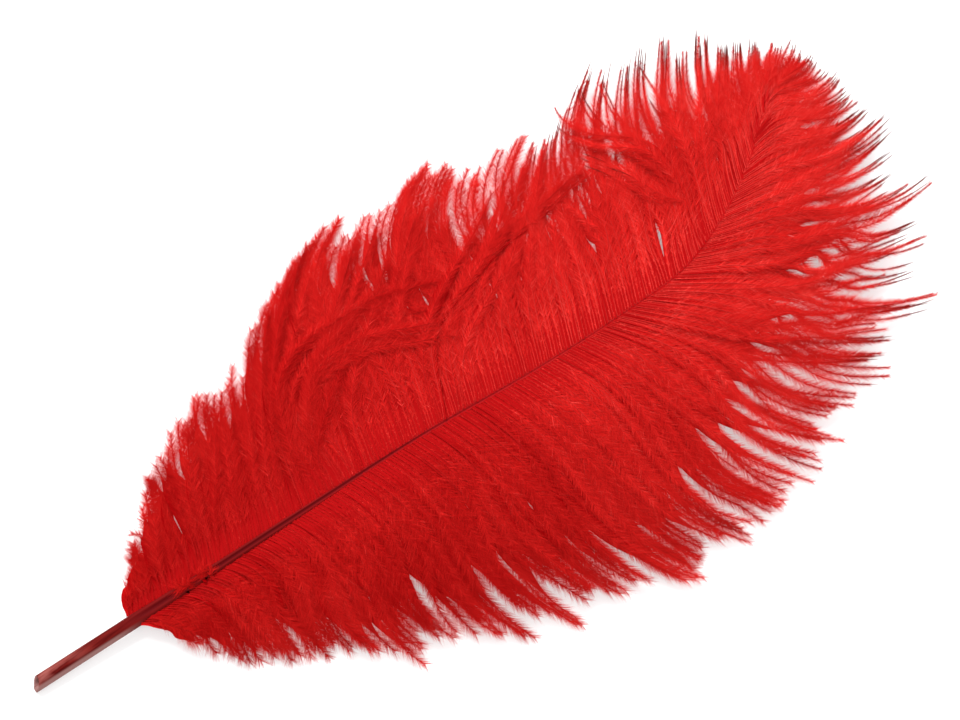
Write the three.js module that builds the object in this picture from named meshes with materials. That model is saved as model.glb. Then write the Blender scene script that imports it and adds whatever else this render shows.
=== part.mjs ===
// A dyed ostrich plume lying on a flat surface, with the cut quill at -X and the soft tip at +X.
// It grew as one thing: a tapering horn shaft with a row of barbs along each side of it.
// Lengths are millimetres, +Z is up, and z = 0 is the surface that the plume lies on.

import * as THREE from "three";

// Centre line of the shaft, from the cut end of the quill to the tip where it sweeps to the left.
const SHAFT_PATH = [
  [-180, 18, 2.3],
  [-150, 15.5, 3.9],
  [-120, 13, 5.3],
  [-80, 10, 7],
  [-30, 6, 8.8],
  [20, 0, 9.6],
  [55, -2.4, 9.8],
  [82, -2.2, 9.7],
  [97, 1.8, 9.5],
  [111, 7.5, 9.2],
  [126, 15.5, 8.8],
  [146, 29.7, 8],
];

// Width and height of the shaft at distances along it from the cut end.
const SHAFT_SECTIONS = [
  { at: 0, width: 5.1, height: 4.4 },
  { at: 38, width: 5, height: 4.2 },
  { at: 75, width: 3.4, height: 3.6 },
  { at: 130, width: 2.7, height: 3 },
  { at: 200, width: 2, height: 2.3 },
  { at: 270, width: 1.3, height: 1.5 },
  { at: 340, width: 0.6, height: 0.7 },
];
const SHAFT_SIDES = 12;
const SHAFT_STEP = 7;

// The quill is an open tube at its cut end.
const QUILL_BORE = 2.8;
const QUILL_BORE_DEPTH = 12;

// Guide barbs of the two vanes: distance of the root along the shaft, the tip as seen from above,
// and the headings in degrees from +X at which the barb leaves the shaft and arrives at its tip.
const LEFT_BARBS = [
  { at: 36, tip: [-134, 30], leave: 73, arrive: 60 },
  { at: 46, tip: [-128, 39], leave: 76, arrive: 70 },
  { at: 60, tip: [-110, 52], leave: 72, arrive: 80 },
  { at: 79, tip: [-83, 66], leave: 68, arrive: 77 },
  { at: 100, tip: [-57, 73], leave: 66, arrive: 65 },
  { at: 121, tip: [-23, 89], leave: 66, arrive: 60 },
  { at: 150, tip: [27, 89], leave: 63, arrive: 48 },
  { at: 187, tip: [82, 77], leave: 63, arrive: 40 },
  { at: 206, tip: [105, 81], leave: 62, arrive: 45 },
  { at: 228, tip: [123, 74], leave: 62, arrive: 50 },
  { at: 250, tip: [143, 66], leave: 63, arrive: 50 },
  { at: 274, tip: [157, 56], leave: 64, arrive: 42 },
  { at: 299, tip: [167, 48], leave: 58, arrive: 36 },
  { at: 318, tip: [171, 43], leave: 50, arrive: 33 },
  { at: 333, tip: [172, 39], leave: 42, arrive: 30 },
];
const RIGHT_BARBS = [
  { at: 38, tip: [-131, -3], leave: -58, arrive: -56 },
  { at: 48, tip: [-130, -11], leave: -54, arrive: -80 },
  { at: 64, tip: [-106, -26], leave: -50, arrive: -92 },
  { at: 81, tip: [-82, -53], leave: -59, arrive: -86 },
  { at: 107, tip: [-41, -74], leave: -64, arrive: -85 },
  { at: 137, tip: [-1, -83], leave: -65, arrive: -80 },
  { at: 169, tip: [48, -89], leave: -65, arrive: -72 },
  { at: 203, tip: [85, -82], leave: -64, arrive: -62 },
  { at: 235, tip: [121, -76], leave: -54, arrive: -50 },
  { at: 247, tip: [139, -72], leave: -46, arrive: -45 },
  { at: 258, tip: [149, -56], leave: -36, arrive: -36 },
  { at: 271, tip: [165, -40], leave: -28, arrive: -23 },
  { at: 287, tip: [175, -21], leave: -12, arrive: -8 },
  { at: 302, tip: [179, -2], leave: 0, arrive: 3 },
  { at: 319, tip: [178, 17], leave: 11, arrive: 15 },
  { at: 334, tip: [174, 33], leave: 24, arrive: 24 },
];

// A barb bends like a springy fibre: these shares of its straight length set the pull of each heading.
const LEAVE_PULL = 0.4;
const ARRIVE_PULL = 0.3;

// The downy vane springs from the shaft's flank, sinks to the surface and thins out to its rim.
const FLANK_GAP = 0.3;
const FLANK_THICKNESS = 2.2;
const DOWN_THICKNESS = 4.4;
const RIM_THICKNESS = 1.6;
const TOUCH_DOWN = 0.55;
const VANE_STEP = 7;
const BARB_STEPS = 8;

const shaftCurve = new THREE.CatmullRomCurve3(
  SHAFT_PATH.map((point) => new THREE.Vector3(...point)),
);
shaftCurve.arcLengthDivisions = 400;
const shaftLength = shaftCurve.getLength();

// Straight-line blend of a numeric key between the two table rows that lie around a distance.
function valueAt(rows, key, at) {
  const last = rows.length - 1;
  const next = rows.findIndex((row) => row.at >= at);
  if (next === 0) return rows[0][key];
  if (next < 0) return rows[last][key];
  const [low, high] = [rows[next - 1], rows[next]];
  return THREE.MathUtils.mapLinear(at, low.at, high.at, low[key], high[key]);
}

// Place, level sideways direction to the left, and section of the shaft at a distance along it.
function shaftAt(at) {
  const share = THREE.MathUtils.clamp(at / shaftLength, 0, 1);
  const along = shaftCurve.getTangentAt(share);
  const left = new THREE.Vector3(-along.y, along.x, 0).normalize();
  return {
    centre: shaftCurve.getPointAt(share),
    left,
    over: new THREE.Vector3().crossVectors(along, left),
    width: valueAt(SHAFT_SECTIONS, "width", at),
    height: valueAt(SHAFT_SECTIONS, "height", at),
  };
}

// Even distances from first to last, no further apart than step.
function stations(first, last, step) {
  const count = Math.ceil((last - first) / step);
  return Array.from({ length: count + 1 }, (_, i) => first + ((last - first) * i) / count);
}

// Closed skin over rings of equal size, with each end closed by a strip across its ring.
function loft(rings) {
  const size = rings[0].length;
  const index = [];
  for (let ring = 0; ring < rings.length - 1; ring += 1) {
    for (let i = 0; i < size; i += 1) {
      const a = ring * size + i;
      const b = ring * size + ((i + 1) % size);
      index.push(a, b, b + size, a, b + size, a + size);
    }
  }
  const lastRing = (rings.length - 1) * size;
  for (let i = 0; i < size / 2 - 1; i += 1) {
    const strip = [i, i + 1, size - 2 - i, size - 1 - i];
    const [a, b, c, d] = strip;
    index.push(a, c, b, a, d, c);
    const [e, f, g, h] = strip.map((corner) => corner + lastRing);
    index.push(e, f, g, e, g, h);
  }
  const geometry = new THREE.BufferGeometry().setFromPoints(rings.flat());
  geometry.setIndex(index);
  geometry.computeVertexNormals();
  return geometry;
}

// Oval ring around the shaft at a distance along it.
function ovalRing(at, width, height) {
  const { centre, left, over } = shaftAt(at);
  return Array.from({ length: SHAFT_SIDES }, (_, i) => {
    const turn = ((i + 0.5) * 2 * Math.PI) / SHAFT_SIDES;
    return centre
      .clone()
      .addScaledVector(left, (Math.cos(turn) * width) / 2)
      .addScaledVector(over, (Math.sin(turn) * height) / 2);
  });
}

// The shaft runs from the bottom of the quill's bore out to the cut end, then on to the tip.
function shaftGeometry() {
  const bore = [QUILL_BORE_DEPTH, 0].map((at) => ovalRing(at, QUILL_BORE, QUILL_BORE));
  const skin = stations(0, shaftLength, SHAFT_STEP).map((at) => {
    const { width, height } = shaftAt(at);
    return ovalRing(at, width, height);
  });
  return loft([...bore, ...skin]);
}

// Path of one barb seen from above: a cubic curve from the shaft's flank to the barb's tip.
function barbPath(barbs, side, at) {
  const { centre, left, width } = shaftAt(at);
  const flank = centre.clone().addScaledVector(left, side * (width / 2 + FLANK_GAP));
  const root = new THREE.Vector2(flank.x, flank.y);
  const tips = barbs.map((barb) => ({ at: barb.at, x: barb.tip[0], y: barb.tip[1] }));
  const tip = new THREE.Vector2(valueAt(tips, "x", at), valueAt(tips, "y", at));
  const reach = root.distanceTo(tip);
  const heading = (key) => {
    const angle = THREE.MathUtils.degToRad(valueAt(barbs, key, at));
    return new THREE.Vector2(Math.cos(angle), Math.sin(angle));
  };
  const leaving = root.clone().addScaledVector(heading("leave"), LEAVE_PULL * reach);
  const arriving = tip.clone().addScaledVector(heading("arrive"), -ARRIVE_PULL * reach);
  return { curve: new THREE.CubicBezierCurve(root, leaving, arriving, tip), level: centre.z };
}

// Cross-section of a vane along one barb: the top from flank to rim, then the underside back again.
function vaneRing(barbs, side, at) {
  const { curve, level } = barbPath(barbs, side, at);
  const top = [];
  const underside = [];
  for (let step = 0; step <= BARB_STEPS; step += 1) {
    const share = step / BARB_STEPS;
    const point = curve.getPoint(share);
    const sink = Math.max(0, 1 - share / TOUCH_DOWN) ** 2;
    const low = (level - FLANK_THICKNESS / 2) * sink;
    const plain = THREE.MathUtils.lerp(FLANK_THICKNESS, RIM_THICKNESS, share);
    const swell = DOWN_THICKNESS - (FLANK_THICKNESS + RIM_THICKNESS) / 2;
    const thickness = plain + swell * 4 * share * (1 - share);
    top.push(new THREE.Vector3(point.x, point.y, low + thickness));
    underside.unshift(new THREE.Vector3(point.x, point.y, low));
  }
  return [...top, ...underside];
}

// A vane is the skin over its barbs' cross-sections; the right one's rings run the other way round.
function vaneGeometry(barbs, side) {
  const places = stations(barbs[0].at, barbs.at(-1).at, VANE_STEP);
  const rings = places.map((at) => vaneRing(barbs, side, at));
  return loft(side > 0 ? rings.map((ring) => ring.reverse()) : rings);
}

function piece(name, geometry, look) {
  const mesh = new THREE.Mesh(geometry, new THREE.MeshStandardMaterial(look));
  mesh.name = name;
  return mesh;
}

const plume = new THREE.Group();
plume.add(
  piece("shaft", shaftGeometry(), { color: 0x74100e, roughness: 0.45, metalness: 0 }),
  piece("left_vane", vaneGeometry(LEFT_BARBS, 1), { color: 0xc51b1b, roughness: 0.85, metalness: 0 }),
  piece("right_vane", vaneGeometry(RIGHT_BARBS, -1), { color: 0xb81518, roughness: 0.85, metalness: 0 }),
);

export default plume;
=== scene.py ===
import math

import bpy
import numpy as np
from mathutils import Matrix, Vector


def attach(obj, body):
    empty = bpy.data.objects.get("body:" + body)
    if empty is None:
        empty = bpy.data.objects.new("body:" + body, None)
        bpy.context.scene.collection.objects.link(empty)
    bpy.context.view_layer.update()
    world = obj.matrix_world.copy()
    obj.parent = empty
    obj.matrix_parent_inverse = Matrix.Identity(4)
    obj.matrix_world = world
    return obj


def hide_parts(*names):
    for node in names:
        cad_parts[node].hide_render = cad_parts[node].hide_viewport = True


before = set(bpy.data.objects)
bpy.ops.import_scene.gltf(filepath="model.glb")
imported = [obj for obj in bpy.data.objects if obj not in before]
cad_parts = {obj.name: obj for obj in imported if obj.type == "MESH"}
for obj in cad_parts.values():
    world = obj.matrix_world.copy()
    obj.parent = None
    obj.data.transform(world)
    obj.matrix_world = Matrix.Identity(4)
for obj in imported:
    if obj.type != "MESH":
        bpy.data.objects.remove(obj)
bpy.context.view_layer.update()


# Shaft
# One grown piece of dyed horn: an open quill cut off at its lower end, and above it a tapering rachis
# with a groove along its upper face, darkened in its colour as painted shade. Both rows of barbs grow out
# of its flanks.

MM = 0.001
SHAFT_LINE = MM * np.array([
    (-180, 18, 2.3), (-150, 15.5, 3.9), (-120, 13, 5.3), (-80, 10, 7), (-30, 6, 8.8), (20, 0, 9.6),
    (55, -2.4, 9.8), (82, -2.2, 9.7), (97, 1.8, 9.5), (111, 7.5, 9.2), (126, 15.5, 8.8), (146, 29.7, 8),
])
SECTION_AT = MM * np.array([0, 38, 75, 130, 200, 270, 340])
SECTION_WIDTH = MM * np.array([5.1, 5.0, 3.4, 2.7, 2.0, 1.3, 0.6])
SECTION_HEIGHT = MM * np.array([4.4, 4.2, 3.6, 3.0, 2.3, 1.5, 0.7])
SHAFT_STEPS = 200
SHAFT_SIDES = 28
BORE = 2.8 * MM
BORE_DEPTH = 12 * MM
CUT_SLANT = 1.6 * MM
CUT_TURN = 0.6
CUT_FADE = 6 * MM
GROOVE_STARTS = 26 * MM
GROOVE_DEPTH = 0.22
GROOVE_WIDTH = 0.30


def line_through(points, count):
    """Smooth curve through the points: between two of them it is the cubic whose slopes are those of the
    chords around each point. It comes back as evenly spaced points, and its length."""
    knots = np.concatenate([[0], np.cumsum(np.linalg.norm(np.diff(points, axis=0), axis=1))])
    slopes = np.gradient(points, knots, axis=0)
    fine = np.linspace(0, knots[-1], 40 * len(points))
    low = np.clip(np.searchsorted(knots, fine, side="right") - 1, 0, len(knots) - 2)
    span = (knots[low + 1] - knots[low])[:, None]
    u = (fine - knots[low])[:, None] / span
    curve = ((1 + 2 * u) * (1 - u) ** 2 * points[low] + u * u * (3 - 2 * u) * points[low + 1]
             + span * u * (1 - u) * ((1 - u) * slopes[low] - u * slopes[low + 1]))
    along = np.concatenate([[0], np.cumsum(np.linalg.norm(np.diff(curve, axis=0), axis=1))])
    even = np.linspace(0, along[-1], count)
    return np.stack([np.interp(even, along, axis) for axis in curve.T], axis=1), along[-1]


def unit(vectors):
    """Vectors of length one."""
    return vectors / np.linalg.norm(vectors, axis=-1, keepdims=True)


def mix(a, b, share):
    """Straight-line blend from a to b."""
    return a + (b - a) * share


def ease(low, high, value):
    """Smooth step from 0 at low to 1 at high."""
    u = np.clip((value - low) / (high - low), 0, 1)
    return u * u * (3 - 2 * u)


def grid_faces(rows, columns, first=0, around=False):
    """Triangles of a grid of points, two to a cell; the columns are joined end to end where around is set."""
    point = first + np.arange(rows * columns).reshape(rows, columns)
    following = np.roll(point, -1, axis=1)
    if not around:
        point, following = point[:, :-1], following[:, :-1]
    a, b, c, d = point[:-1], following[:-1], following[1:], point[1:]
    return np.concatenate([np.stack([a, b, c], -1).reshape(-1, 3), np.stack([a, c, d], -1).reshape(-1, 3)])


def mesh_piece(name, points, faces):
    """Object at the origin whose mesh has these points and triangles."""
    mesh = bpy.data.meshes.new(name)
    mesh.vertices.add(len(points))
    mesh.vertices.foreach_set("co", points.astype(np.float32).ravel())
    mesh.loops.add(faces.size)
    mesh.loops.foreach_set("vertex_index", faces.astype(np.int32).ravel())
    mesh.polygons.add(len(faces))
    mesh.polygons.foreach_set("loop_start", np.arange(0, faces.size, 3, dtype=np.int32))
    mesh.polygons.foreach_set("use_smooth", np.ones(len(faces), dtype=bool))
    mesh.update(calc_edges=True)
    piece = bpy.data.objects.new(name, mesh)
    bpy.context.collection.objects.link(piece)
    return piece


def add_uv(piece, name, uv):
    """UV map from one pair of numbers for each point of the mesh."""
    mesh = piece.data
    corner = np.empty(len(mesh.loops), dtype=np.int32)
    mesh.loops.foreach_get("vertex_index", corner)
    mesh.uv_layers.new(name=name).uv.foreach_set("vector", uv[corner].astype(np.float32).ravel())


class Value:
    """A shader socket that takes part in Python sums; each operator adds its Math node."""

    def __init__(self, tree, socket):
        self.tree = tree
        self.socket = socket

    def node(self, kind, settings=None, out=0, **inputs):
        """Any other node: its type, its settings, the output wanted, and its sockets by name or number."""
        made = self.tree.nodes.new(kind)
        for key, setting in (settings or {}).items():
            setattr(made, key, setting)
        for key, value in inputs.items():
            slot = made.inputs[int(key[1:]) if key[1:].isdigit() else key.replace("_", " ")]
            if isinstance(value, Value):
                self.tree.links.new(value.socket, slot)
            else:
                slot.default_value = value
        return Value(self.tree, made.outputs[out])

    def maths(self, operation, a, b=0.0):
        """One Math node on two values or numbers."""
        return self.node("ShaderNodeMath", {"operation": operation}, i0=a, i1=b)

    def blend(self, share, low, high):
        """Colour that goes from low to high as the share goes from 0 to 1."""
        return self.node("ShaderNodeMix", {"data_type": "RGBA"}, out=2, i0=share, i6=low, i7=high)

    def step(self, low, high):
        """Smooth step of this value from 0 at low to 1 at high."""
        return self.node("ShaderNodeMapRange", {"interpolation_type": "SMOOTHSTEP"},
                         Value=self, From_Min=low, From_Max=high)

    def __add__(self, other):
        return self.maths("ADD", self, other)

    def __radd__(self, other):
        return self.maths("ADD", other, self)

    def __sub__(self, other):
        return self.maths("SUBTRACT", self, other)

    def __rsub__(self, other):
        return self.maths("SUBTRACT", other, self)

    def __mul__(self, other):
        return self.maths("MULTIPLY", self, other)

    def __rmul__(self, other):
        return self.maths("MULTIPLY", other, self)


def new_look(name):
    """Empty node material, and a value to start its sums from."""
    look = bpy.data.materials.new(name)
    look.use_nodes = True
    look.node_tree.nodes.clear()
    return look, Value(look.node_tree, None)


def end_look(shader):
    """Join the finished shader to its material's output."""
    end = shader.tree.nodes.new("ShaderNodeOutputMaterial")
    shader.tree.links.new(shader.socket, end.inputs["Surface"])


def shaft_ring(centre, along, width, height, groove):
    """Rings around the shaft: an oval of the given width and height, its top pressed in by a bell-shaped
    groove as deep as the groove share of the height."""
    left = unit(np.cross((0, 0, 1), along))
    over = np.cross(along, left)
    turn = 2 * np.pi * np.arange(SHAFT_SIDES) / SHAFT_SIDES
    across = np.cos(turn)
    press = groove[:, None] * np.exp(-(across / GROOVE_WIDTH) ** 2) * (np.sin(turn) > 0)
    x = across * width[:, None] / 2
    z = (np.sin(turn) / 2 - press) * height[:, None]
    return centre[:, None] + x[..., None] * left[:, None] + z[..., None] * over[:, None]


shaft_points, SHAFT_LENGTH = line_through(SHAFT_LINE, SHAFT_STEPS)
shaft_along = np.linspace(0, SHAFT_LENGTH, SHAFT_STEPS)
shaft_heading = unit(np.gradient(shaft_points, axis=0))
shaft_width = np.interp(shaft_along, SECTION_AT, SECTION_WIDTH)
shaft_height = np.interp(shaft_along, SECTION_AT, SECTION_HEIGHT)
shaft_groove = GROOVE_DEPTH * ease(GROOVE_STARTS, 2 * GROOVE_STARTS, shaft_along)

skin = shaft_ring(shaft_points, shaft_heading, shaft_width, shaft_height, shaft_groove)
bore_rows = np.searchsorted(shaft_along, BORE_DEPTH)
bore_narrowing = np.sqrt(np.linspace(0.02, 1, bore_rows))
bore = shaft_ring(shaft_points[bore_rows - 1::-1], shaft_heading[bore_rows - 1::-1],
                  BORE * bore_narrowing, BORE * bore_narrowing, np.zeros(bore_rows))
rings = np.concatenate([bore, skin])
slant = CUT_SLANT * np.sin(2 * np.pi * np.arange(SHAFT_SIDES) / SHAFT_SIDES + CUT_TURN)
near_cut = np.concatenate([ease(0.6, 1, np.linspace(0, 1, bore_rows)), 1 - ease(0, CUT_FADE, shaft_along)])
rings += (near_cut[:, None] * slant)[..., None] * shaft_heading[0]
shaft = mesh_piece("shaft_horn", rings.reshape(-1, 3), grid_faces(len(rings), SHAFT_SIDES, around=True))
place = np.concatenate([np.zeros(bore_rows), shaft_along / SHAFT_LENGTH])
round_from_below = (np.arange(SHAFT_SIDES) / SHAFT_SIDES + 0.25) % 1
add_uv(shaft, "grain", np.stack(np.broadcast_arrays(place[:, None], round_from_below), -1).reshape(-1, 2))

horn, maker = new_look("dyed_horn")
grain = maker.node("ShaderNodeUVMap", {"uv_map": "grain"})
split = grain.node("ShaderNodeSeparateXYZ", Vector=grain)
lengthwise = split
round_it = Value(maker.tree, split.socket.node.outputs[1])
from_top = round_it.maths("ABSOLUTE", round_it - 0.5)
spot = maker.node("ShaderNodeTexCoord", out=3)
streak_place = spot.node("ShaderNodeMapping", Vector=spot, Scale=(60.0, 900.0, 900.0))
streak = spot.node("ShaderNodeTexNoise", Vector=streak_place, Scale=1.0, Detail=3.0)
patch_place = spot.node("ShaderNodeMapping", Vector=spot, Scale=(120.0, 350.0, 350.0))
patch = spot.node("ShaderNodeTexNoise", Vector=patch_place, Scale=1.0, Detail=2.0)
dyed = maker.blend(streak.step(0.35, 0.7), (0.055, 0.002, 0.002, 1), (0.13, 0.009, 0.007, 1))
bare = maker.blend(streak.step(0.3, 0.7), (0.13, 0.018, 0.015, 1), (0.24, 0.070, 0.060, 1))
quill = maker.blend((1 - lengthwise.step(0.0, 0.075)) * patch.step(0.35, 0.6), dyed, bare)
# Pale greyish-pink stripes along both flanks of the quill: painted light showing through its translucent
# edges.
painted_edge_light = round_it.step(0.58, 0.65) + 0.7 * (1 - round_it.step(0.32, 0.37))
quill = maker.blend(painted_edge_light * (1 - lengthwise.step(0.09, 0.13)), quill, (0.25, 0.125, 0.115, 1))
rachis = maker.blend(lengthwise.step(0.24, 0.50), (0.125, 0.005, 0.005, 1), (0.30, 0.007, 0.008, 1))
rachis = maker.blend(lengthwise.step(0.50, 0.75), rachis, (0.36, 0.010, 0.010, 1))
# Towards the tip the shaft turns paler pink: partly its own lighter colour where it thins, partly a painted
# highlight along its top.
rachis = maker.blend(lengthwise.step(0.80, 0.95), rachis, (0.55, 0.028, 0.025, 1))
body = maker.blend(lengthwise.step(0.08, 0.14), quill, rachis)
# Painted shade: the groove along the top of the rachis is darkened in its colour, less so towards the tip.
groove_shade_fade = 1 - 0.6 * lengthwise.step(0.36, 0.58) - 0.4 * lengthwise.step(0.85, 0.95)
groove_painted_shade = (1 - from_top.step(0.02, 0.10)) * lengthwise.step(0.08, 0.14) * groove_shade_fade
horn_red = maker.blend(0.8 * groove_painted_shade, body, (0.06, 0.001, 0.002, 1))
fine = spot.node("ShaderNodeBump", Strength=0.25, Distance=0.0002, Height=streak)
horn_shine = maker.node("ShaderNodeBsdfPrincipled", Base_Color=horn_red, Normal=fine,
                        Roughness=0.42 + 0.2 * streak, Specular_IOR_Level=0.01)
end_look(horn_shine)
shaft.data.materials.append(horn)
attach(shaft, "root")
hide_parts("shaft")


# Left row of barbs
# A few hundred soft side branches grow out of the shaft's left flank. Each is a thin tapering stem with
# barbules down both sides. With no hooks to hold them they fall into loose locks, thinner to the rim.

# A barb's place along the shaft and its tip, in mm, and its headings at root and tip, in degrees.
LEFT_GUIDES = np.array([
    (36, -134, 30, 66, 62), (46, -128, 39, 68, 84), (58, -112, 50, 65, 72), (68, -98, 58, 62, 62),
    (78, -83, 66, 62, 52), (88, -70, 70, 64, 44), (98, -56, 73, 68, 38), (108, -39, 81, 71, 34),
    (118, -22, 88, 72, 32), (128, -5, 89, 71, 30), (148, 19, 89, 70, 26), (168, 41, 86, 67, 24),
    (188, 66, 80, 65, 24), (208, 87, 77.5, 63, 26), (228, 103, 79.5, 63, 34), (248, 120, 75, 63, 44),
    (268, 136, 68.5, 66, 48), (288, 149, 61.5, 66, 50), (308, 157, 56, 66, 50), (328, 164.5, 50.5, 64, 47),
    (336, 168.5, 46, 56, 42), (343, 172, 40.5, 46, 36), (350, 175, 35, 36, 27),
], dtype=float)
# How far the barbs of a place reach, as a share of the way to the guide's tip.
LEFT_RIM = np.array([
    (36, 0.80), (49, 0.95), (61, 1.05), (73, 1.03), (85, 0.93), (96, 0.88), (104, 0.95), (120, 1.03),
    (128, 1.02), (140, 0.90), (152, 0.92), (163, 0.99), (177, 0.88), (190, 0.92), (199, 0.98), (211, 0.90),
    (223, 0.99), (232, 1.06), (252, 1.08), (272, 1.07), (300, 1.05), (350, 1.04),
])
# How many mm along the shaft a leaning barb of a place comes over its neighbours.
LEFT_LEAN = np.array([
    (36, 0), (60, 8), (85, 20), (110, 30), (140, 32), (170, 30), (190, 26), (210, 8), (225, 0), (240, -4),
    (260, -6), (280, -4), (300, 0), (350, 0),
])
# Barbs in a sweep, half its spread and its lift in mm, and its line: mm along the shaft, % of the way out.
LEFT_SWEEPS = [
    (10, 6, 1.9, [(117, 0), (113, 30), (114, 43), (121, 49), (137, 49), (163, 45), (177, 41)]),
    (8, 5, 2.0, [(122, 0), (119, 26), (124, 37), (137, 38), (163, 29), (179, 24)]),
    (4, 4, 1.5, [(122, 0), (120, 30), (127, 43), (150, 52), (160, 64)]),
    (5, 9, 0.4, [(170, 0), (176, 28), (188, 42), (200, 49), (214, 51), (238, 57)]),
    (8, 7, 1.2, [(267, 0), (264, 26), (254, 39), (241, 56), (230, 67)]),
    (2, 2, 3.5, [(270, 0), (263, 40), (243, 69), (220, 111)]),
    (2, 2, 3.5, [(273, 0), (266, 35), (253, 58), (231, 109)]),
    (2, 1, 3.0, [(282, 0), (276, 40), (263, 75), (249, 102)]),
    (2, 2, 4.0, [(276, 0), (269, 30), (256, 53), (237, 65), (210, 93)]),
]
# Tone of the barbs of a place, their hold on their lock, and the mm from one to the next.
LEFT_SHADE = np.array([(36, -0.16), (110, 0.01), (200, 0.36), (230, 0.45), (270, 0.48), (350, 0.52)])
LEFT_HOLD = np.array([
    (36, 0.10), (105, 0.18), (125, 0.42), (240, 0.42), (280, 0.60), (320, 0.55), (350, 0.30),
])
LEFT_SPACING = np.array([
    (36, 1.25), (70, 1.2), (90, 1.1), (200, 1.1), (220, 1.25), (290, 1.25), (320, 1.1), (350, 1.1),
])
# A window's place along the shaft in mm, its share of the way out, half its length, and its opening in mm.
LEFT_WINDOWS = [
    (292, 0.29, 0.09, 2.6), (232, 0.30, 0.07, 2.0), (255, 0.18, 0.10, 2.6), (268, 0.80, 0.10, 1.0),
]
LEFT_BARE_FROM = 190
LEFT_SEED = 11

# Curves of the barbs: pulls are shares of the chord, root places shares of the shaft's width and height.
BARB_STEPS = 28
LEAVE_PULL = 0.4
ARRIVE_PULL = 0.4
GUIDE_BLUR = 11
FLANK_TURNS = (70 * MM, 140 * MM)
CROWN_TURNS = (250 * MM, 310 * MM)
ROOT_OUT_LOW = 0.42
ROOT_OUT_HIGH = 0.26
ROOT_IN_AT_CROWN = 0.11
ROOT_UP_LOW = 0.2
ROOT_UP_HIGH = 0.45

# How the barbs lie: scatter, waves, strays, drifts, swells and lifts are in mm, and the rest are shares.
ORDER_STEP = 0.01
ROOT_SCATTER = 0.15
TANGLE_LOW = 2.6
TANGLE_HIGH = 0.85
TANGLE_TURNS = (55, 110)
STRAY = 2.4
LEANING_SHARE = 0.38
LEANING_CHANCE = 0.2
LEAN_MOST = 30
LEAN_LOSS = 0.35
LEAN_LIFT = 1.8
EVENING = 0.8
LOCK_WIDTH = 7 * MM
LOCK_JITTER = 0.3
LOCK_MIXING = 0.8
LOCK_DRIFT = 1.1
SHORT_BARBS = 0.3
SHORT_LOSS = 0.34
LONG_LOSS = 0.10
LOSS_TURNS = (190, 260)
LOSS_AT_CROWN = 0.6
SWEEP_STEPS = 200
SWEEP_NARROWING = 0.58
SWEEP_SCATTER = 0.03
SWEEP_WAVE = 0.8
WINDOW_HALF = 5
WINDOW_EDGE = 0.7
SWELL = 2.6
SWELL_TURNS = (270, 315)
SWELL_LOSS = 0.85
TIP_HEIGHT = 2.6
TONE_OF_BARB = 0.30
TONE_OF_LOCK = 0.12

# Stems, shade sheet and barbules: rolls, slants and hang are in degrees, half-widths of the shade sheet
# in mm, and the rest are lengths in metres, shares or tones.
BARB_ROLL = 14
STEM_ROOT = 0.19 * MM
STEM_TIP = 0.06 * MM
STEM_SIDES = 3
STEM_TALL = 1.5
STEM_RISE = 0.25 * MM
STEM_SHEATH = 0.13 * MM
SHADE_SHEET_ROOT = 0.95
SHADE_SHEET_WIDER = 0.85
SHADE_SHEET_WIDEST = 0.5
SHADE_SHEET_DROP = 1.0 * MM
FLOOR_GAP = 0.15 * MM
BARBULE_PITCH = 0.101 * MM
BARBULE_LENGTH = 5.6 * MM
BARBULE_FOOT = 2
BARBULES_IN_TUFT = 5
BARBULE_CROWDING = 0.8
COMB_DEPTH = 16 * MM
COMB_LENGTH = 0.18
SLANT_ROOT = 24
SLANT_OUT = 35
SLANT_LOST_AT_END = 9
SLANT_OF_TUFT = 4
SLANT_OF_BARBULE = 5
ROLL_OF_TUFT_ROOT = 6
ROLL_OF_TUFT_OUT = 9
ROLL_OF_BARBULE = 14
ROLL_UP = 4
HANG_NEAR_ROOT = 14
SOFT_EDGE = 0.3
TONE_OF_TUFT = 0.09
TONE_OF_BARBULE = 0.28
TONE_MOST = 1.6
# Share of barbules given extra tone as painted glints, and the tone they gain.
PAINTED_GLINT_SHARE = 0.11
PAINTED_GLINT_TONE = 0.8
STRETCHES = ("base", "middle", "tip")

# Ends of the barbs: the least and most of their length that is bare, and then, before and past the place
# where they turn bare, the size of their last barbules, where their shade sheet stops, and where barbules
# shorten.
BARE_ENDS = (0.02, 0.11)
TAPER = (0.85, 0.32)
SHADE_SHEET_STOPS = (0.84, 0.56)
FADE = (0.92, 0.64)

# Rows of the flat map, each one barb high: the middle of its stem, half its barbules, and its shade sheet.
MAP_STEM = 0.62
MAP_STEM_STEP = 0.04
MAP_BARBULE = 0.34
MAP_BARBULE_SLANT = 0.025
MAP_LENGTH = 0.96
MAP_SHADE_SHEET = 0.04
MAP_SHADE_SHEET_WIDTH = 0.16


def heading_at(degrees):
    """Flat vectors of length one at these angles from the x axis."""
    turn = np.radians(degrees)
    return np.stack([np.cos(turn), np.sin(turn), np.zeros_like(turn)], axis=1)


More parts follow.
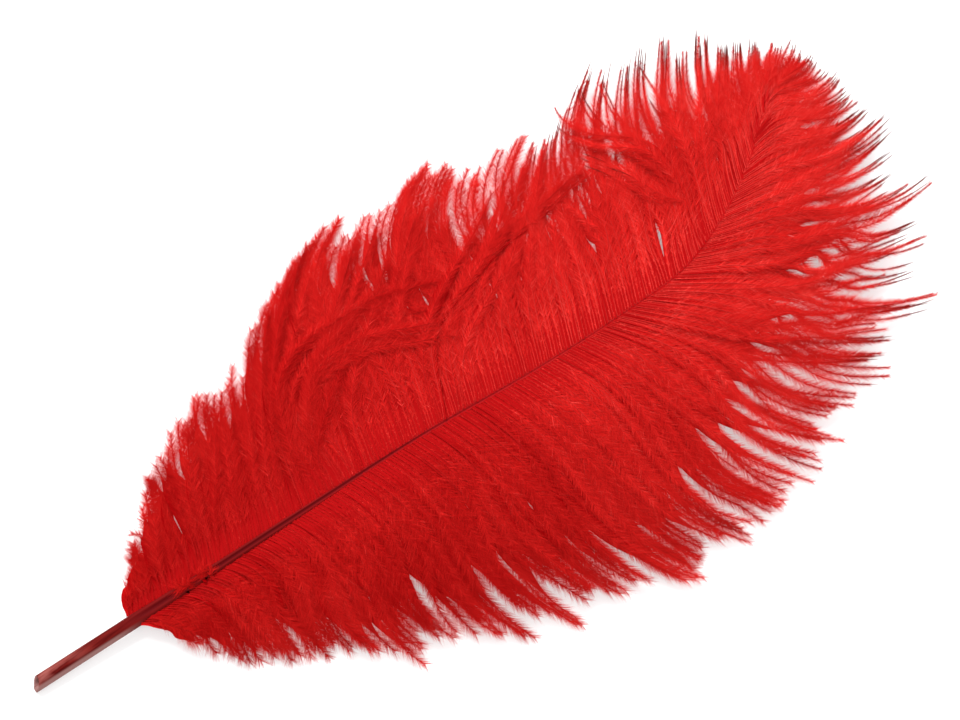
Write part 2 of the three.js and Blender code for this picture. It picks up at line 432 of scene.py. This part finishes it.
def guide_sheet(guides, side):
    """Control points of the barbs' curves for each millimetre of their order along the shaft: root, a point
    along the leaving heading, a point against the arriving heading, and tip, smoothed over neighbours."""
    order = np.arange(guides[0, 0], guides[-1, 0] + 1)
    tip_x, tip_y, leave, arrive = (np.interp(order, guides[:, 0], column) for column in guides[:, 1:].T)
    at = np.minimum(order * MM, SHAFT_LENGTH)
    root = np.stack([np.interp(at, shaft_along, axis) for axis in shaft_points.T], axis=1)
    heading = np.stack([np.interp(at, shaft_along, axis) for axis in shaft_heading.T], axis=1)
    flank = ease(*FLANK_TURNS, at)
    off = mix(ROOT_OUT_LOW, ROOT_OUT_HIGH, flank) - ROOT_IN_AT_CROWN * ease(*CROWN_TURNS, at)
    off = off * np.interp(at, shaft_along, shaft_width)
    root += (side * off)[:, None] * unit(np.cross((0, 0, 1), heading))
    root[:, 2] += mix(ROOT_UP_LOW, ROOT_UP_HIGH, flank) * np.interp(at, shaft_along, shaft_height)
    tip = MM * np.stack([tip_x, tip_y, np.zeros_like(tip_x)], axis=1)
    chord = np.linalg.norm((tip - root)[:, :2], axis=1)[:, None]
    leaving = root + LEAVE_PULL * chord * heading_at(leave)
    arriving = tip - ARRIVE_PULL * chord * heading_at(arrive)
    sheet = np.stack([root, leaving, arriving, tip])
    kernel = np.hanning(GUIDE_BLUR) / np.hanning(GUIDE_BLUR).sum()
    edge = GUIDE_BLUR // 2
    padded = np.pad(sheet, ((0, 0), (edge, edge), (0, 0)), mode="edge")
    smooth = np.apply_along_axis(np.convolve, 1, padded, kernel, mode="valid")
    smooth[0] = sheet[0]
    return order[0], smooth


def on_sheet(first, sheet, order, share):
    """Points of the barbs seen from above: the cubic curve of each order's control points at each share."""
    place = np.clip(order - first, 0, sheet.shape[1] - 1.001)
    low = place.astype(int)
    part = (place - low)[..., None]
    root, leaving, arriving, tip = (mix(points[low], points[low + 1], part) for points in sheet)
    t = share[..., None]
    inner = (1 - t) ** 3 * root + 3 * t * (1 - t) ** 2 * leaving
    return inner + 3 * t * t * (1 - t) * arriving + t ** 3 * tip


def root_orders(guides, spacing, sweeps, rng):
    """Places of all barbs along the shaft, in rising order: spaced as the table says, each a little off, with
    those of the sweeps between them. The second list numbers each barb's sweep, 0 for none."""
    fine = np.arange(guides[0, 0], guides[-1, 0], ORDER_STEP)
    number = np.cumsum(ORDER_STEP / np.interp(fine, *spacing.T))
    order = np.interp(np.arange(1, number[-1]), number, fine)
    order = order + rng.normal(0, ROOT_SCATTER, order.size)
    sweep = np.repeat(np.arange(len(sweeps) + 1), [order.size] + [barbs for barbs, _, _, _ in sweeps])
    swept = [line[0][0] + rng.uniform(-spread, spread, barbs) for barbs, spread, _, line in sweeps]
    order = np.concatenate([order] + swept)
    rise = np.argsort(order)
    return order[rise], sweep[rise]


def grow_barbs(guides, spacing, rim, hold, lean, sweeps, windows, shade, side, rng):
    """Paths of all barbs of one side as they lie. A barb keeps to its own order near the shaft, with a wave
    of its own, and farther out gathers to the middle of its lock; the locks stand at even steps along the
    rim, a little off. Some barbs lean over their neighbours and end short of the rim, and the rest close up
    evenly between them. Those of a sweep follow its own line. Round a window the barbs stand aside, by a
    distance that falls off bell-shaped along and across. Heights follow the curve of second order from the
    root over a swell to the tip."""
    first, sheet = guide_sheet(guides, side)
    order, sweep = root_orders(guides, spacing, sweeps, rng)
    count = order.size
    u = np.linspace(0, 1, BARB_STEPS)[None]

    def pick(low, high):
        return rng.uniform(low, high, (count, 1))

    tangle = mix(TANGLE_LOW, TANGLE_HIGH, ease(*TANGLE_TURNS, order))[:, None]
    wave = tangle * pick(0.3, 1.5) * u ** 1.5 * np.sin(2 * np.pi * (u * pick(0.5, 1.3) + pick(0, 1)))
    stray = rng.normal(0, STRAY, (count, 1)) * ease(0.3, 1, u)
    place = order[:, None] + wave + stray
    leaning = np.interp(order, *lean.T)[:, None] * pick(0.3, 1.1)
    turn = LEANING_SHARE * np.arange(count)[:, None] + LEANING_CHANCE * rng.random((count, 1))
    leaning = leaning * (turn % 1 < LEANING_SHARE)
    own = (leaning[:, 0] == 0) & (sweep == 0)
    rank = np.argsort(np.argsort(place[own, -1]))
    even = np.quantile(order, (np.arange(own.sum()) + 0.5) / own.sum())
    place[own] += EVENING * (even[rank] - place[own, -1])[:, None] * ease(0.15, 0.9, u)
    place = place + leaning * ease(0.15, 1.1, u)

    run = np.concatenate([[0], np.cumsum(np.linalg.norm(np.diff(sheet[3], axis=0), axis=1))])
    stop = np.arange(0.5, run[-1] / LOCK_WIDTH)
    stop = LOCK_WIDTH * (stop + rng.uniform(-LOCK_JITTER, LOCK_JITTER, stop.size))
    centre = first + np.interp(stop, run, np.arange(run.size))
    lock = np.abs(place[:, -1:] + rng.normal(0, LOCK_MIXING, (count, 1)) - centre).argmin(axis=1)

    def per_lock(low, high):
        return rng.uniform(low, high, (centre.size, 1))[lock]

    gather = np.interp(order, *hold.T)[:, None] * pick(0.4, 1.0)
    place = place + (centre[lock][:, None] - place) * gather * ease(0.4, 1, u)
    place = place + LOCK_DRIFT * per_lock(-1, 1) * u ** 2
    reach = np.interp(centre, *rim.T) + rng.uniform(-0.06, 0.05, centre.size)
    loss = np.where(rng.random((count, 1)) < SHORT_BARBS, SHORT_LOSS, LONG_LOSS)
    loss = loss * mix(1.0, LOSS_AT_CROWN, ease(*LOSS_TURNS, order))[:, None]
    share = u * reach[lock][:, None] * (1.02 - loss * rng.random((count, 1)))
    short = np.minimum(np.abs(leaning) / LEAN_MOST, 1)
    share = share * (1 - LEAN_LOSS * short * pick(0.2, 1.0))
    lift = LEAN_LIFT * short

    for number, (_, _, height, turns) in enumerate(sweeps, start=1):
        mine = (sweep == number)[:, None]
        line, _ = line_through(np.array(turns, dtype=float), SWEEP_STEPS)
        at = u * pick(0.75, 1.0) * (SWEEP_STEPS - 1)
        across = ease(0.25, 0.5, u)
        beside = (order[:, None] - turns[0][0]) * (1 - SWEEP_NARROWING * across)
        swept_place = np.interp(at, np.arange(SWEEP_STEPS), line[:, 0]) + beside
        swept_share = np.interp(at, np.arange(SWEEP_STEPS), line[:, 1]) / 100
        swept_share = swept_share + rng.normal(0, SWEEP_SCATTER, (count, 1)) * across
        place = np.where(mine, swept_place + SWEEP_WAVE * wave, place)
        share = np.where(mine, swept_share, share)
        lift = np.where(mine, height, lift)
    for middle, at, half, opening in windows:
        aside = place - middle
        bell = np.exp(-(aside / WINDOW_HALF) ** 2 - ((share - at) / half) ** 2)
        place = place + opening * np.tanh(aside / WINDOW_EDGE) * bell

    paths = on_sheet(first, sheet, place, share)
    root_z = paths[:, :1, 2]
    swell = SWELL * (1 - SWELL_LOSS * ease(*SWELL_TURNS, order))[:, None]
    middle_z = root_z + MM * (swell + per_lock(-1.0, 1.0) + pick(-1.0, 1.0))
    tip_z = MM * np.clip(TIP_HEIGHT + per_lock(-1.2, 1.5) + rng.normal(0, 0.9, (count, 1)), 0.8, 9)
    t = np.clip(share, 0, 1)
    paths[..., 2] = root_z * (1 - t) ** 2 + 2 * middle_z * t * (1 - t) + tip_z * t * t
    paths[..., 2] += MM * lift * ease(0.15, 0.6, u)
    tone = TONE_OF_BARB * rng.random(count) + TONE_OF_LOCK * per_lock(0, 1)[:, 0]
    return order, paths, tone + np.interp(order, *shade.T)


def barb_frames(paths, rng):
    """Heading of each barb at each point, its sideways direction in the vane, and its upward normal, rolled
    by a small angle of its own so that the barbs overlap like shingles."""
    heading = unit(np.gradient(paths, axis=1))
    side = unit(np.cross((0, 0, 1), heading))
    roll = np.radians(rng.normal(0, BARB_ROLL, (len(paths), 1, 1)))
    normal = np.cross(heading, side)
    return heading, side * np.cos(roll) + normal * np.sin(roll), normal * np.cos(roll) - side * np.sin(roll)


def stems(paths, side, normal, bare):
    """Tapering tubes around the paths, taller than wide, a little raised near the shaft and at the end so
    that they show. Where the end of a barb is bare it swells a little, sheathed in short barbules that
    cling to it, and then draws in to a point."""
    share = np.linspace(0, 1, paths.shape[1])
    bare = bare[:, None]
    sheath = STEM_SHEATH * np.minimum(bare / 0.05, 1) * ease(0.9 - bare, 1 - 0.6 * bare, share)
    radius = mix(STEM_ROOT, STEM_TIP, share ** 0.8) + sheath * (1 - ease(1 - 0.5 * bare - 0.01, 1, share))
    radius[:, -1] = 0.2 * STEM_TIP
    turn = 2 * np.pi * np.arange(STEM_SIDES) / STEM_SIDES + np.pi / 2
    ring = np.cos(turn)[:, None] * side[:, :, None] + STEM_TALL * np.sin(turn)[:, None] * normal[:, :, None]
    high = ease(0.05, 0.2, share) * (1 - ease(0.2, 0.4, share)) + ease(0.75, 0.95, share)
    middle = paths + STEM_RISE * high[:, None] * normal
    return middle[:, :, None] + radius[:, :, None, None] * ring


def shade_sheet(paths, side, normal, thin):
    """Ribbons a little under the stems that stand in for the lower barbules of a barb, coloured darker as
    painted shade between the barbs: about as wide as the spacing of the barbs, wider halfway, and drawn in
    to nothing before the rim."""
    share = np.linspace(0, 1, paths.shape[1])
    thin = thin[:, None]
    half = SHADE_SHEET_ROOT + SHADE_SHEET_WIDER * ease(0, 0.3, share) + SHADE_SHEET_WIDEST * ease(0.3, 0.6, share)
    half = 0.01 + half * (1 - ease(thin - 0.2, thin + 0.05, share))
    out = MM * half[..., None] * side
    under = paths - SHADE_SHEET_DROP * mix(0.15, 1.0, ease(0.08, 0.35, share))[:, None] * normal
    edges = np.stack([under + out, under - out], axis=2)
    edges[..., 2] = np.maximum(edges[..., 2], FLOOR_GAP)
    return edges


def barbules(paths, heading, side, normal, bare, taper, fade, rng):
    """Soft barbules down both sides of every barb, short near the shaft and shorter again past the fade.
    Roots stand along the stem, a little denser to its end; each barbule is one thin triangle from a root
    and one farther on to its own tip, out at a slant and rolled up or down, with its tuft and on its own."""
    steps = paths.shape[1] - 1
    length = np.linalg.norm(np.diff(paths, axis=1), axis=2).sum(axis=1)
    count = (length * (1 - bare) / BARBULE_PITCH).astype(int)
    barb = np.repeat(np.arange(len(paths)), count)
    turn = np.arange(barb.size) - np.repeat(np.cumsum(count) - count, count)
    along = ((turn + 0.5) / count[barb]) ** BARBULE_CROWDING * (1 - bare[barb])
    low = np.minimum((along * steps).astype(int), steps - 1)
    part = (along * steps - low)[:, None]

    def at(rows):
        return mix(rows[barb, low], rows[barb, low + 1], part)

    root, ahead, across, up = at(paths), unit(at(heading)), unit(at(side)), unit(at(normal))
    depth = np.minimum(COMB_DEPTH, 0.3 * length)[barb]
    comb = ease(0.15 * depth, depth, along * length[barb])
    end = 1 - ease(fade[barb], 1.0, along / (1 - bare[barb]))
    hang = HANG_NEAR_ROOT * (1 - ease(0.14, 0.36, along))
    tuft = np.arange(barb.size) // BARBULES_IN_TUFT
    tufts = tuft[-1] + 1
    tips, leans, tones = [], [], []
    for hand in (-1, 1):
        size = BARBULE_LENGTH * mix(COMB_LENGTH, 1.0, comb) * mix(taper[barb], 1.0, end)
        size = (size * rng.uniform(0.82, 1.08, tufts)[tuft] * rng.uniform(0.5, 1.1, barb.size))[:, None]
        slant = mix(SLANT_ROOT, SLANT_OUT, comb) - SLANT_LOST_AT_END * (1 - end)
        slant = slant + rng.normal(0, SLANT_OF_TUFT, tufts)[tuft] + rng.normal(0, SLANT_OF_BARBULE, barb.size)
        roll = mix(ROLL_OF_TUFT_ROOT, ROLL_OF_TUFT_OUT, comb) * rng.normal(0, 1, tufts)[tuft]
        roll = roll + rng.normal(0, ROLL_OF_BARBULE, barb.size) + ROLL_UP - hang
        slant, roll = np.radians(slant)[:, None], np.radians(roll)[:, None]
        out = np.cos(roll) * hand * across + np.sin(roll) * up
        tips.append(root + size * (np.cos(slant) * ahead + np.sin(slant) * out))
        leans.append(unit(np.cos(roll) * up - np.sin(roll) * hand * across + SOFT_EDGE * hand * across))
        tone = rng.normal(0, TONE_OF_TUFT, tufts)[tuft] + rng.normal(0, TONE_OF_BARBULE, barb.size)
        # Some barbules get extra tone: painted glints.
        tones.append(tone + PAINTED_GLINT_TONE * (rng.random(barb.size) < PAINTED_GLINT_SHARE))
    points = np.stack([root] + tips, axis=1)
    points[..., 2] = np.maximum(points[..., 2], FLOOR_GAP)
    full = turn < count[barb] - BARBULE_FOOT
    first = 3 * np.arange(barb.size)[full]
    following = first + 3 * BARBULE_FOOT
    faces = np.concatenate([np.stack([first, first + 1, following], -1),
                            np.stack([first, following, first + 2], -1)])
    tones = np.stack([0.5 * (tones[0] + tones[1])] + tones, axis=1)
    return barb, along, points, faces, np.stack([up] + leans, axis=1), tones


def repeated(faces, count, points, first=0):
    """The same triangles for each of a count of like shapes, each with its own run of points."""
    return (faces + first + points * np.arange(count)[:, None, None]).reshape(-1, 3)


def columns(*values):
    """Values side by side, each spread to the shape of all of them."""
    return np.stack(np.broadcast_arrays(*values), -1)


def joined(parts, width):
    """Tables of stems, shade sheets and barbules as one list of numbers, point after point."""
    return np.concatenate([rows.reshape(-1, width) for rows in parts])


def barb_piece(name, paths, tone, bare, taper, fade, thin, rng):
    """One stretch of a row of barbs as a single mesh: stems, shade sheets and barbules, with each point's
    share along its barb, reach out from the stem, tone and bareness of the tip, and a flat map with a row
    to each barb."""
    heading, side, normal = barb_frames(paths, rng)
    count, steps = paths.shape[:2]
    tubes = stems(paths, side, normal, bare)
    shade_sheet_edges = shade_sheet(paths, side, normal, thin)
    barb, along, plume, plume_faces, leans, tones = barbules(paths, heading, side, normal, bare, taper, fade,
                                                             rng)
    shade_sheet_first = tubes.size // 3
    plume_first = shade_sheet_first + shade_sheet_edges.size // 3
    faces = np.concatenate([
        repeated(grid_faces(steps, STEM_SIDES, around=True), count, STEM_SIDES * steps),
        repeated(grid_faces(steps, 2), count, 2 * steps, shade_sheet_first),
        plume_first + plume_faces,
    ])
    piece = mesh_piece(name, joined([tubes, shade_sheet_edges, plume], 3), faces)

    share = np.linspace(0, 1, steps)[None, :, None]
    each = np.arange(count)[:, None, None]
    own = np.clip(tone[barb][:, None] + tones, 0, TONE_MOST)
    looks = joined([columns(share, np.zeros(STEM_SIDES), tone[each], bare[each]),
                    columns(share, np.full(2, -1), tone[each], bare[each]),
                    columns(along[:, None], np.array([0.15, 1, 1]), own, bare[barb][:, None])], 4)
    fibre = piece.data.attributes.new("fibre", "FLOAT_COLOR", "POINT")
    fibre.data.foreach_set("color", looks.astype(np.float32).ravel())

    flat = joined([columns(share, (each + MAP_STEM + MAP_STEM_STEP * np.arange(-1, 2)) / count),
                   columns(share, (each + MAP_SHADE_SHEET + MAP_SHADE_SHEET_WIDTH * np.arange(2)) / count),
                   columns(MAP_LENGTH * along[:, None] + MAP_BARBULE_SLANT * np.array([0, 1, 1]),
                           (barb[:, None] + MAP_STEM + MAP_BARBULE * np.array([0, -1, 1])) / count)], 2)
    add_uv(piece, "OFBake", flat)

    soft = joined([unit(tubes - paths[:, :, None]), np.broadcast_to(normal[:, :, None], shade_sheet_edges.shape), leans], 3)
    facing = piece.data.attributes.new("custom_normal", "FLOAT_VECTOR", "POINT")
    facing.data.foreach_set("vector", soft.astype(np.float32).ravel())
    return piece


down, maker = new_look("red_down")
fibre = maker.node("ShaderNodeAttribute", {"attribute_name": "fibre"})
bare_tip = Value(maker.tree, fibre.socket.node.outputs["Alpha"])
channels = fibre.node("ShaderNodeSeparateColor", Color=fibre)
along_barb = channels
out_from_stem = Value(maker.tree, channels.socket.node.outputs[1])
strand_tone = Value(maker.tree, channels.socket.node.outputs[2])
spot = maker.node("ShaderNodeTexCoord", out=3)
cloud = spot.node("ShaderNodeTexNoise", Vector=spot, Scale=45.0, Detail=3.0)
lightness = 0.03 + 0.75 * strand_tone + 0.15 * cloud.step(0.3, 0.7) + 0.06 * (1 - along_barb.step(0.0, 0.2))
fluff_red = maker.blend(lightness, (0.30, 0.0022, 0.0030, 1), (0.80, 0.024, 0.020, 1))
# The lightest strands turn pale pink: painted highlights on the fluff.
fluff_red = maker.blend(lightness.step(0.85, 1.2), fluff_red, (0.92, 0.085, 0.070, 1))
# Ribs near the shaft go from dark red to pale pink with the barb's tone; the pale pink end is partly a
# painted sheen.
rib_red_and_sheen = maker.blend(strand_tone.step(0.15, 0.95), (0.40, 0.007, 0.008, 1), (0.68, 0.040, 0.034, 1))
stem_red = maker.blend(along_barb.step(0.10, 0.7), rib_red_and_sheen, (0.24, 0.007, 0.006, 1))
tip_brown = along_barb.step(0.80, 0.95) * bare_tip.step(0.0, 0.07)
tip_brown = tip_brown * (1 - 0.5 * out_from_stem.step(0.0, 0.3))
plume_red = maker.blend(out_from_stem.step(0.0, 0.2), stem_red, fluff_red)
plume_red = maker.blend(tip_brown, plume_red, (0.10, 0.017, 0.013, 1))
# Shade sheet colour: a darker red than the fluff, painted shade between the barbs; lighter near the shaft and
# where the barb's tone is high.
shade_sheet_red = maker.blend(along_barb.step(0.06, 0.3), (0.37, 0.005, 0.006, 1), (0.27, 0.0015, 0.0025, 1))
shade_sheet_red = maker.blend(strand_tone.step(0.75, 1.2), shade_sheet_red, (0.58, 0.012, 0.012, 1))
red = maker.blend(out_from_stem.step(-0.6, -0.4), shade_sheet_red, plume_red)
surface = maker.node("ShaderNodeBsdfPrincipled", Base_Color=red, Roughness=0.6, Specular_IOR_Level=0.0)
through = maker.node("ShaderNodeBsdfTranslucent", Color=(0.60, 0.008, 0.007, 1))
both = maker.node("ShaderNodeMixShader", i0=0.3, i1=surface, i2=through)
end_look(both)


def add_row(name, node, guides, spacing, rim, hold, lean, sweeps, windows, shade, side, bare_from, seed):
    """One row of barbs in three stretches of the shaft, each a piece of its own in place of the vane solid.
    From a place along the shaft on, the barbs end barer and thinner."""
    rng = np.random.default_rng(seed)
    order, paths, tone = grow_barbs(guides, spacing, rim, hold, lean, sweeps, windows, shade, side, rng)
    past = order - bare_from
    bare = rng.uniform(*BARE_ENDS, order.size) * ease(0, 60, past)
    taper = mix(*TAPER, ease(-30, 50, past))
    thin = mix(*SHADE_SHEET_STOPS, ease(-20, 30, past)) * rng.uniform(0.85, 1.1, order.size)
    fade = mix(*FADE, ease(5, 50, past)) * rng.uniform(0.9, 1.05, order.size)
    length = np.cumsum(np.linalg.norm(np.diff(paths, axis=1), axis=2).sum(axis=1))
    third = np.minimum(len(STRETCHES) * length / length[-1], len(STRETCHES) - 0.01).astype(int)
    for number, stretch in enumerate(STRETCHES):
        mine = third == number
        piece = barb_piece(f"{name}_{stretch}", paths[mine], tone[mine], bare[mine], taper[mine], fade[mine],
                           thin[mine], rng)
        piece.data.materials.append(down)
        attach(piece, "root")
        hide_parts(node)


add_row("left_barbs", "left_vane", LEFT_GUIDES, LEFT_SPACING, LEFT_RIM, LEFT_HOLD, LEFT_LEAN, LEFT_SWEEPS,
        LEFT_WINDOWS, LEFT_SHADE, 1, LEFT_BARE_FROM, LEFT_SEED)


# Right row of barbs
# The same soft side branches on the other flank. They leave the shaft squarely, sweep forward, and fan out
# round the bend near the tip, so that their ends stand apart there. Each table reads as the left row's does.

RIGHT_GUIDES = np.array([
    (38, -131, -5, -34, -66), (44, -128, -14, -34, -90), (52, -122, -19, -38, -94), (60, -115, -22, -45, -90),
    (68, -109, -26, -50, -86), (78, -98, -35, -56, -80), (88, -89, -45, -61, -75), (98, -75, -55, -65, -70),
    (118, -52, -68, -68, -66), (138, -29, -76.5, -70, -64), (158, -6, -81.5, -72, -62),
    (178, 18, -85.5, -72, -61), (198, 42, -88.5, -70, -57), (208, 56, -88, -67, -53),
    (217, 74, -85, -64, -46), (226, 97, -81, -58, -36), (236, 123, -75, -51, -26),
    (246, 145, -64.5, -44, -18), (256, 160, -45, -38, -7), (266, 171, -28, -30, 1), (276, 176, -13, -22, 6),
    (286, 179, -2, -15, 9), (297, 179, 6, -8, 12), (308, 178, 14, 1, 16), (320, 177, 23, 11, 20),
    (334, 174, 34, 24, 26), (345, 170, 42, 38, 35),
], dtype=float)
RIGHT_RIM = np.array([
    (38, 0.88), (58, 1.00), (72, 1.00), (79, 0.98), (86, 0.88), (94, 1.02), (108, 0.90), (126, 1.00),
    (138, 0.94), (146, 1.00), (153, 0.88), (165, 0.99), (175, 1.03), (183, 0.96), (191, 1.02), (211, 1.00),
    (224, 0.93), (237, 0.95), (248, 1.00), (255, 0.96), (266, 1.06), (274, 0.95), (290, 1.04), (306, 0.99),
    (345, 1.03),
])
RIGHT_LEAN = np.array([(38, 4), (90, 8), (150, 6), (200, -4), (240, 5), (280, 6), (320, 0)])
RIGHT_SWEEPS = [
    (3, 0.8, 1.2, [(57, 1), (58.5, -2), (60, -6), (61.5, -11)]),
    (3, 0.8, 1.2, [(65, 1), (66.5, -2), (68, -6), (69.5, -11)]),
]
# Through the middle of the shaft these tones stand below the left row's: painted shade on the row turned away
# from the light. Towards the tip they rise above it.
RIGHT_SHADE = np.array([
    (38, -0.12), (110, -0.06), (170, 0.06), (210, 0.22), (235, 0.42), (260, 0.56), (300, 0.72), (345, 0.72),
])
RIGHT_HOLD = np.array([
    (38, 0.10), (90, 0.14), (120, 0.26), (215, 0.28), (240, 0.60), (310, 0.60), (345, 0.35),
])
RIGHT_SPACING = np.array([(38, 1.25), (200, 1.25), (225, 0.85), (275, 0.85), (300, 1.2), (345, 1.2)])
RIGHT_WINDOWS = [
    (258.5, 0.46, 0.07, 1.6), (243, 0.46, 0.06, 1.6), (264, 0.23, 0.05, 1.4), (270, 0.39, 0.06, 1.6),
    (260.5, 0.60, 0.10, 2.4), (252.5, 0.64, 0.08, 1.8), (246, 0.66, 0.05, 1.3), (198, 0.90, 0.07, 1.8),
]
RIGHT_BARE_FROM = 215
RIGHT_SEED = 23

add_row("right_barbs", "right_vane", RIGHT_GUIDES, RIGHT_SPACING, RIGHT_RIM, RIGHT_HOLD, RIGHT_LEAN,
        RIGHT_SWEEPS, RIGHT_WINDOWS, RIGHT_SHADE, -1, RIGHT_BARE_FROM, RIGHT_SEED)


# Surface, light and camera
# A plain white table under a large soft light from the far left, a paler one opposite, and a camera that
# looks down on the plume with its quill at the lower left.

FLOOR_HALF = 4.0
floor_points = FLOOR_HALF * np.array([(-1, -1, 0), (1, -1, 0), (-1, 1, 0), (1, 1, 0)], dtype=float)
floor = mesh_piece("floor", floor_points, grid_faces(2, 2))
table, maker = new_look("white_table")
table_shine = maker.node("ShaderNodeBsdfPrincipled", Base_Color=(0.58, 0.58, 0.58, 1), Roughness=0.8,
                         Specular_IOR_Level=0.1, Emission_Color=(1, 1, 1, 1), Emission_Strength=0.4)
end_look(table_shine)
floor.data.materials.append(table)

CAMERA_AZIMUTH = math.radians(-38.4)
CAMERA_ELEVATION = math.radians(68)
CAMERA_DISTANCE = 0.9
CAMERA_TARGET = np.array([6.6, 18.2, 0]) * MM
FRAME_WIDTH = 960 * 0.347 * MM


def look_at(thing, place, target):
    """Stand a camera or light at a place and turn it towards the target."""
    thing.location = place
    away = Vector(place) - Vector(target)
    thing.rotation_euler = away.to_track_quat("Z", "Y").to_euler()
    bpy.context.collection.objects.link(thing)


def from_target(azimuth, elevation, distance):
    """Point at a distance from the camera's target, by the angles round and above it."""
    flat = np.cos(elevation)
    way = np.array([np.sin(azimuth) * flat, -np.cos(azimuth) * flat, np.sin(elevation)])
    return CAMERA_TARGET + distance * way


lens = bpy.data.cameras.new("camera")
lens.lens = lens.sensor_width * CAMERA_DISTANCE / FRAME_WIDTH
camera = bpy.data.objects.new("camera", lens)
look_at(camera, from_target(CAMERA_AZIMUTH, CAMERA_ELEVATION, CAMERA_DISTANCE), CAMERA_TARGET)
bpy.context.scene.camera = camera


def soft_light(name, azimuth, elevation, distance, size, power):
    """Square soft box aimed at the plume."""
    light = bpy.data.lights.new(name, "AREA")
    light.size = size
    light.energy = power
    look_at(bpy.data.objects.new(name, light),
            from_target(math.radians(azimuth), math.radians(elevation), distance), CAMERA_TARGET)


soft_light("key", 172, 46, 1.5, 0.8, 36)
soft_light("fill", -38, 60, 1.8, 1.2, 11)

world = bpy.data.worlds.new("studio")
world.use_nodes = True
world.node_tree.nodes["Background"].inputs["Color"].default_value = (1, 1, 1, 1)
world.node_tree.nodes["Background"].inputs["Strength"].default_value = 0.85
bpy.context.scene.world = world
bpy.context.scene.view_settings.view_transform = "Standard"
